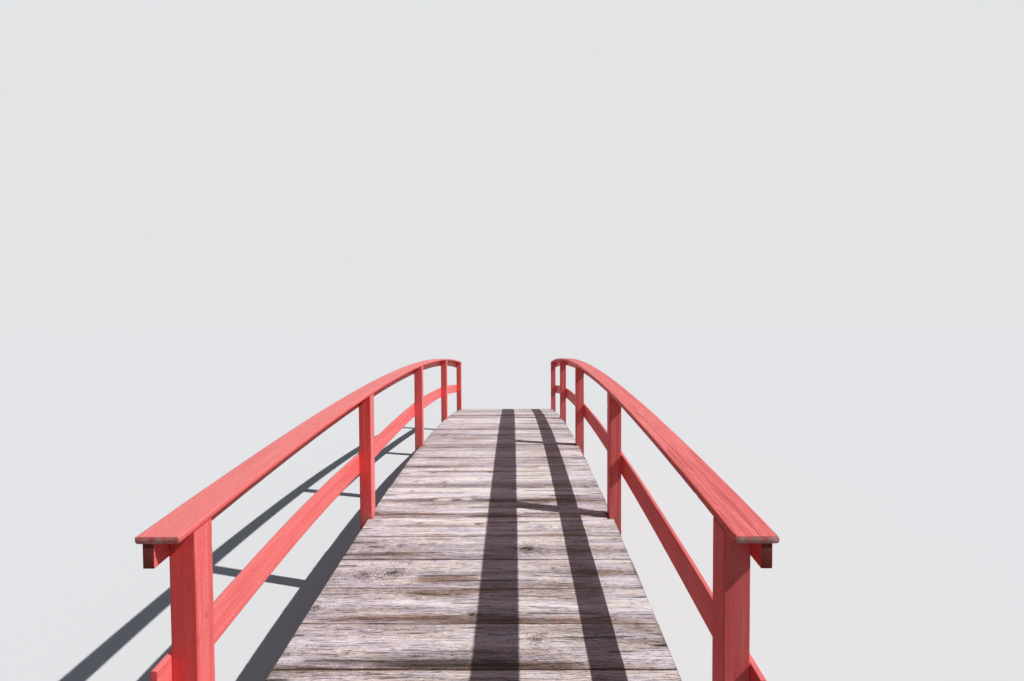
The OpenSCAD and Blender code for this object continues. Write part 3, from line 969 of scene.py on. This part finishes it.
def timberPiece(name, ring, along, toPoint, replaced, seed, weather, endMaterial=None, grooves=(), grimeAt=-math.inf,
                length=1.0, roundEnds=(1, 1), fade=0.0):
    # A section carried along a path: each point is the path's own function of (length, a, b), worn at the corners
    a, b, outA, outB, fromCorner, groove = ring
    rng = np.random.default_rng(seed)
    along = np.asarray(along)
    s, _ = np.meshgrid(along, a, indexing="ij")
    shape = s.shape
    toEnd = np.minimum(np.where(roundEnds[0], s - along[0], 9), np.where(roundEnds[1], along[-1] - s, 9)) * length
    rounding = timberWear["endRounding"]
    inset = np.maximum(rounding - toEnd, 0)
    inset = rounding - np.sqrt(np.maximum(rounding**2 - inset**2, 0))
    metres = s * length
    inset += timberWear["waviness"] * (1 + softNoise(metres / timberWear["waveLength"], np.arange(len(a)) / 4, seed))
    quadrant = np.sign(a) + 2 * np.sign(b)
    chip = smoothStep(0.62, 0.9, softNoise(metres / timberWear["chipSize"], quadrant * 3.7 + seed, seed + 1))
    chip *= smoothStep(0.1, 0.6, softNoise(metres / 0.5, quadrant * 5.1 + seed, seed + 2)) * min(1.0, 0.35 + weather)
    chip = chip * np.exp(-((fromCorner / timberWear["chipReach"]) ** 2))
    inset += timberWear["chipDepth"] * chip
    crackMask = np.zeros(shape)
    for index, (_, middle, half) in enumerate(grooves):
        line = np.clip(1 - np.abs(metres - middle) / half, 0, 1) ** 0.5
        line = line * (0.7 + 0.3 * softNoise(metres / 0.05, index * 3.3, seed + 5))
        crackMask += (groove == index) * smoothStep(0.05, 0.3, line)
        inset += (groove == index) * line * timberWear["grooveDepth"]

    # Grooves wander with the grain, on the top face only
    sway = timberWear["grooveSway"] * softNoise(metres / 0.5, seed * 0.37, 71)
    sway = sway * np.exp(-((np.abs(a) / np.abs(a).max()) ** 8) * 3) * ((outB > 0.9) & (len(grooves) > 0))
    points = toPoint(s, a - outA * inset + sway, b - outB * inset).reshape(-1, 3)
    quads, first, last = tubeFaces(len(along), len(a))
    slots = np.concatenate([np.zeros(len(quads), int), np.ones(len(first) + len(last), int)])
    around = np.broadcast_to(np.concatenate([[0], np.cumsum(np.hypot(np.diff(a), np.diff(b)))]), shape)
    knots = [(rng.uniform(along[0], along[-1]) * length, rng.uniform(0, around.max()),
              rng.uniform(*timberWear["knotSizes"])) for _ in range(rng.integers(1, 5))]
    pithTurn, pithAway = rng.uniform(0, 2 * math.pi), rng.uniform(*timberWear["pithAway"])
    pith = (pithAway * math.cos(pithTurn), pithAway * math.sin(pithTurn), rng.uniform(-0.012, 0.012))
    fields = {"seed": rng.uniform(0, 1), "weather": weather, "fade": fade, "edge": fromCorner}
    values = {key: np.broadcast_to(field, shape).ravel() for key, field in fields.items()}
    values |= {
        "grainPlace": np.stack(np.broadcast_arrays(metres, a, b), -1).reshape(-1, 3),
        "pith": np.tile(pith, (s.size, 1)),
        "knot": nearestMark(metres, around, knots, 0.6, 0.01),
        "bare": chip.ravel(),
        "crack": crackMask.ravel() * 0.85,
        "grime": np.exp(-np.abs(points[:, 2] - grimeAt) / timberWear["grimeReach"]),
    }
    finishes = [redPaint, endMaterial or paintedEnd]
    meshPiece(name, points, np.concatenate([quads, first, last]), slots, values, finishes, replaced)


def placesAlong(low, high, step, ends=(0, 0.0004, 0.001, 0.005)):
    ends = np.array(ends)
    return spreadColumns(np.concatenate([low + ends, high - ends]), np.arange(low, high, step), 0.003)


rails = {
    "cap": {"wide": 0.148, "high": 0.026, "rounding": 0.008, "over": 0.068},
    "upper": {"wide": 0.038, "high": 0.084, "rounding": 0.003, "over": 0.062},
    "middle": {"wide": 0.025, "high": 0.15, "rounding": 0.006, "over": 0.062},
    "middleHeight": {"left": 0.348, "right": 0.331},
    "bowPlaces": (-3.87, -2.95, -1.45, 0.0),  # the near board of the left middle rail is not true: along the bridge,
    "bowRises": (0.011, 0.018, -0.016, -0.002),  # and how far it lies above its arc there
    "joint": 0.002,
    "step": 0.021,
    "weather": {"left": 0.12, "right": 0.9},  # of the caps; the other rails are half as worn
}

# Long open checks in the caps' top faces: place across, middle and half length along, all in metres
capGrooves = {
    "right_near": [(-0.010, -3.68, 0.26), (0.022, -2.9, 0.5), (-0.034, -1.9, 0.45), (0.006, -1.1, 0.6),
                   (0.042, -3.4, 0.3)],
    "right_far": [(0.012, 3.4, 0.5), (-0.03, 2.2, 0.6), (0.03, 1.0, 0.5)],
    "left_near": [(0.02, -3.75, 0.16)],
    "left_far": [(-0.015, 2.9, 0.4)],
}


def bow(y):  # smooth steps from each place to the next
    places, rises = rails["bowPlaces"], rails["bowRises"]
    steps = [(b - a) * smoothStep(p, q, y) for p, q, a, b in zip(places, places[1:], rises, rises[1:])]
    return rises[0] + sum(steps)


def buildRails():
    for sideName, side in sides:
        cap, upper, middle = (rails[kind] for kind in ("cap", "upper", "middle"))
        middleRise = rails["middleHeight"][sideName] + middle["high"] / 2
        layout = {
            "cap": (arch["walkHalf"] + cap["wide"] / 2, arch["railHeight"] + cap["high"] / 2, "cap"),
            "upper": (railX + upper["wide"] / 2, arch["railHeight"] - upper["high"] / 2, "upper_rail"),
            "middle": (railX + middle["wide"] / 2, middleRise, "middle_rail"),
        }
        for kind, (middleX, rise, nodeName) in layout.items():
            board = rails[kind]
            for halfName, half in (("near", -1), ("far", 1)):
                outer, inner = postEndY + board["over"], rails["joint"] / 2
                low, high = (-outer, -inner) if half < 0 else (inner, outer)
                bowed = kind == "middle" and sideName == "left" and half < 0
                grooves = capGrooves[f"{sideName}_{halfName}"] if kind == "cap" else []
                ring = sectionRing(board["wide"], board["high"], board["rounding"], grooves=grooves)

                def toPoint(s, a, b):
                    # A cap's end is square to its arc, and the other rails' ends are plumb
                    y = s * (1 + b / arch["radius"]) if kind == "cap" else s
                    z = heightAt(s, rise) + b if kind == "cap" else heightAt(s, rise + b) + bowed * bow(s)
                    return np.stack([side * middleX - a, y, z], -1)

                weather = rails["weather"][sideName] * (1.0 if kind == "cap" else 0.5)
                # The upper rails' ends take the near black end grain, which is painted shade
                seed, end = 100 + 10 * half + 40 * side + len(kind), {"cap": capEnd, "upper": paintedShadeEnd}.get(kind)
                timberPiece(f"{kind}Board{sideName.capitalize()}{halfName.capitalize()}", ring,
                            placesAlong(low, high, rails["step"]), toPoint, [f"{nodeName}_{sideName}_{halfName}"],
                            seed, weather, end, grooves)
    print("stage: rails made")


buildRails()

posts = {
    "rounding": 0.003,
    "step": 0.02,
    "ringStep": 0.013,
    "intoCap": 0.0006,
    "weather": 0.22,
    # Paler paint a post, from the near end: painted light for the brighter light on the farther and the right-hand
    # posts' fronts
    "fade": {"left": (0.0, 0.13, 0.22, 0.22, 0.22), "right": (0.27, 0.3, 0.3, 0.3, 0.3)},  # from the near end
}


def buildPosts():
    ring = sectionRing(arch["postWidth"], arch["postWidth"], posts["rounding"], posts["ringStep"])
    for sideName, side in sides:
        for i in range(1, arch["bays"] + 2):
            node = f"post_{sideName}_{i}"
            low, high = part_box(node)
            postX, postY, foot = (low.x + high.x) / 2, (low.y + high.y) / 2, low.z

            def toPoint(s, a, b):
                # The post's top follows the underside of the cap, and the rings below it flatten towards the foot
                y = postY + b
                top = heightAt(y, arch["railHeight"]) + posts["intoCap"]
                return np.stack([postX + a, y + 0 * s, foot + s * (top - foot)], -1)

            height = high.z - foot
            along = placesAlong(0, height, posts["step"]) / height
            timberPiece(f"post{sideName.capitalize()}{i}", ring, along, toPoint, [node], 300 + 20 * i + side,
                        posts["weather"], grimeAt=heightAt(postY), length=height, roundEnds=(1, 0),
                        fade=posts["fade"][sideName][i - 1])
    print("stage: posts made")


buildPosts()

# Fixings, as outlines turned about their own axis: radius and height above the timber, from the shank to the top
fixings = {
    "nail": [(0.0030, -0.002), (0.0039, 0.0002), (0.0033, 0.0006), (0.0014, 0.0008)],
    "screw": [(0.0042, -0.002), (0.0048, 0.0008), (0.0038, 0.0019), (0.0016, 0.0023)],
    "bolt": [(0.009, -0.003), (0.0118, 0.0003), (0.0116, 0.0016), (0.0095, 0.0036), (0.0055, 0.005), (0.002, 0.0055)],
    "washer": [(0.0105, -0.001), (0.0108, 0.0004), (0.0108, 0.0018), (0.0103, 0.0022)],
    "nut": [(0.0088, 0.0015), (0.0092, 0.0022), (0.0092, 0.0096), (0.0084, 0.0103)],
    "thread": [(0.0049, 0.0), (0.0049, 0.0145), (0.0042, 0.0153)],
    "railNailFirst": -3.588,  # the first of the nails that hold the caps to the upper rails
    "railNailStep": 0.296,
    "upperScrews": (0.02, 0.062),  # below the caps
    "middleScrews": (0.038, 0.112),  # above the middle rail's lower edge
    "jointShift": 0.024,  # from a joint between two boards
    "capNails": (0.024, 0.066),  # across, from a post's inner face
    "boltRises": (-0.115, -0.215),  # below the walking surface
    "boltShift": 0.03,  # to either side of the post's middle, clear of the blocking
    "railNailAcross": 0.024,  # from the posts' outer faces
    "headerShares": (0.2, 0.5, 0.8),  # of the header's height
    "postClear": 0.07,  # no cap nail between the posts lies nearer to a post's middle
}


def turnedParts(profileName, places, ways, around):
    # Every point is its fixing's place + way * height + (u * cos + v * sin) * radius, with u, v and way square
    profile = np.array(fixings[profileName])
    places = np.reshape(places, (-1, 3))
    ways = np.broadcast_to(ways, places.shape)
    ways = ways / np.linalg.norm(ways, axis=1)[:, None]
    helper = np.where(np.abs(ways[:, :1]) > 0.9, [[0.0, 1.0, 0.0]], [[1.0, 0.0, 0.0]])
    u = np.cross(helper, ways)
    u /= np.linalg.norm(u, axis=1)[:, None]
    v = np.cross(ways, u)
    angles = 2 * math.pi * np.arange(around) / around
    circle = u[:, None, :] * np.cos(angles)[None, :, None] + v[:, None, :] * np.sin(angles)[None, :, None]
    points = places[:, None, None, :] + ways[:, None, None, :] * profile[None, :, 1, None, None]
    points = points + circle[:, None, :, :] * profile[None, :, 0, None, None]
    faces = np.concatenate(tubeFaces(len(profile), around))
    starts = len(profile) * around * np.arange(len(places))
    return points.reshape(-1, 3), (faces[None] + starts[:, None, None]).reshape(-1, 4)


def fixingPiece(name, material, slotName, *kinds):  # each kind with its places, ways and number of sides
    points, quads = joined([turnedParts(*kind) for kind in kinds])
    meshPiece(name, points, quads, np.zeros(len(quads)), {}, [material], flatAngle=50)


def buildFixings():
    capTop = arch["railHeight"] + arch["capThickness"]
    rng = np.random.default_rng(77)

    def spread(reach):
        return rng.uniform(-reach, reach)

    fixingPiece("deckNails", nailZinc, "deck_timber", ("nail", deckNailPlaces, deckNailWays, 10))

    for sideName, side in sides:
        screws, nails, bolts, nuts = [], [], [], []
        screwRises = [(arch["railHeight"] - drop, "upper") for drop in fixings["upperScrews"]]
        screwRises += [(rails["middleHeight"][sideName] + lift, "middle") for lift in fixings["middleScrews"]]
        for postY in postYs:
            # Each board end has its own pair of screws, so the middle post, where the boards meet, has two pairs
            for shift in (-fixings["jointShift"], fixings["jointShift"]) if abs(postY) < 0.01 else (0.0,):
                for rise, board in screwRises:
                    y = postY + shift + spread(0.006)
                    bowed = board == "middle" and side < 0 and y < 0
                    screws.append((side * (railX + rails[board]["wide"]), y, heightAt(y, rise) + bowed * bow(y)))
                for across in fixings["capNails"]:
                    y = postY + shift + spread(0.008)
                    nails.append((side * (arch["walkHalf"] + across), y, heightAt(y, capTop)))
            for rise, shift in zip(fixings["boltRises"], (-fixings["boltShift"], fixings["boltShift"])):
                y, z = postY + shift, heightAt(postY) + rise
                bolts.append((side * railX, y, z))
                nuts.append((side * (arch["stringerX"] - arch["stringerHalf"]), y, z))
        first, step = fixings["railNailFirst"], fixings["railNailStep"]
        for k in range(int(2 * abs(first) / step) + 1):
            y = first + k * step + spread(0.01)
            if np.abs(postYs - y).min() > fixings["postClear"]:
                across = railX + fixings["railNailAcross"] + spread(0.005)
                nails.append((side * across, y, heightAt(y, capTop)))
        nailWays = [(0, y, arch["radius"]) for _, y, _ in nails]
        outward, inward = (side, 0, 0), (-side, 0, 0)
        fixingPiece(f"railFixings{sideName.capitalize()}", paintedIron, "red_paint",
                    ("screw", screws, outward, 12), ("bolt", bolts, outward, 16), ("nail", nails, nailWays, 10))
        fixingPiece(f"boltNuts{sideName.capitalize()}", boltZinc, "frame_timber",
                    ("washer", nuts, inward, 16), ("nut", nuts, inward, 6), ("thread", nuts, inward, 10))

    nails, nailWays = [], []
    for nodeName, side in (("header_near", -1), ("header_far", 1)):
        low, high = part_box(nodeName)
        for x in (-arch["stringerX"], 0.0, arch["stringerX"]):
            for share in fixings["headerShares"]:
                y, z = high.y if side > 0 else low.y, low.z + share * (high.z - low.z)
                nails.append((x + spread(0.006), y, z))
                nailWays.append((0, side, 0))
    fixingPiece("headerNails", nailZinc, "frame_timber", ("nail", nails, nailWays, 10))
    print("stage: fixings made")


buildFixings()

for nodeName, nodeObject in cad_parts.items():
    if not nodeObject.hide_render:
        finish = {"sill": sillTimber, "stringer": stringerTimber}.get(nodeName.split("_")[0], crossTimber)
        for materialSlot in nodeObject.material_slots:
            materialSlot.material = finish

studio = {
    "floorColour": (0.80, 0.80, 0.80, 1),
    "floorBounce": (0.16, 0.16, 0.16, 1),  # what the floor throws back on the bridge
    "floorRadius": 600.0,
    "floorSides": 96,
    "backdrop": (0.763, 0.776, 0.793, 1),
    "fill": 0.13,
    "fillColour": (0.84, 0.96, 1.15, 1),  # a little cool, as from an open sky
    "keyPower": 3.8,
    "keyDirection": (0.985, -0.25, 1.0),  # from the object towards the lamp
    "keySoftness": 0.55,  # degrees across the lamp
}


def seenDirectly(tree):  # 1 for what the camera sees, straight or in a reflection
    rays = addNode(tree, "ShaderNodeLightPath").outputs
    camera, glossy, through = (Wire(rays[f"Is {kind} Ray"]) for kind in ("Camera", "Glossy", "Transmission"))
    return calc("MAXIMUM", camera, calc("MAXIMUM", glossy, through))


def buildStudio():
    angles = np.linspace(0, 2 * math.pi, studio["floorSides"] + 1)[:-1]
    mesh = bpy.data.meshes.new("floor")
    disc = studio["floorRadius"] * np.stack([np.cos(angles), np.sin(angles), 0 * angles], -1)
    mesh.from_pydata(disc.tolist(), [], [list(range(len(angles)))])
    material, tree = newMaterial("paleFloor")
    base = mixColour(seenDirectly(tree), studio["floorBounce"], studio["floorColour"])
    setInputs(tree.nodes["Principled BSDF"], {"Base Color": base, "Roughness": 1.0, "Specular IOR Level": 0.0})
    mesh.materials.append(material)
    floor = placeObject("floor", mesh)

    world = bpy.data.worlds.new("studioWorld")
    world.use_nodes = True
    tree = world.node_tree
    light = addNode(tree, "ShaderNodeBackground", {"Color": studio["fillColour"], "Strength": studio["fill"]})
    back = addNode(tree, "ShaderNodeBackground", {"Color": studio["backdrop"], "Strength": 1.0})
    mixed = wire("ShaderNodeMixShader", {0: seenDirectly(tree), 1: Wire(light.outputs[0]), 2: Wire(back.outputs[0])})
    setInputs(tree.nodes["World Output"], {"Surface": mixed})
    bpy.context.scene.world = world

    lamp = bpy.data.lights.new("keyLamp", "SUN")
    lamp.energy = studio["keyPower"]
    lamp.angle = math.radians(studio["keySoftness"])
    key = placeObject("keyLamp", lamp)
    key.rotation_euler = Vector(studio["keyDirection"]).to_track_quat("Z", "Y").to_euler()


buildStudio()

# The camera stands a little before the near end, at eye height, and looks along the bridge
view = {
    "place": (0.1996, -5.3266, 2.0518),
    "lens": 15.926,
    "sensor": 36.0,
    "down": 0.0258,  # radians
    "left": 0.0084,
    "roll": -0.0052,
    "clipEnd": 2000.0,
}


def buildCamera():
    data = bpy.data.cameras.new("camera")
    data.lens, data.sensor_width, data.sensor_fit = view["lens"], view["sensor"], "HORIZONTAL"
    data.clip_end = view["clipEnd"]
    camera = placeObject("camera", data)
    turn = Matrix.Rotation(view["left"], 4, "Z") @ Matrix.Rotation(math.pi / 2 - view["down"], 4, "X")
    camera.matrix_world = Matrix.Translation(view["place"]) @ turn @ Matrix.Rotation(view["roll"], 4, "Z")
    bpy.context.scene.camera = camera


buildCamera()
bpy.context.scene.view_settings.view_transform = "Standard"
print("stage: studio and camera set")
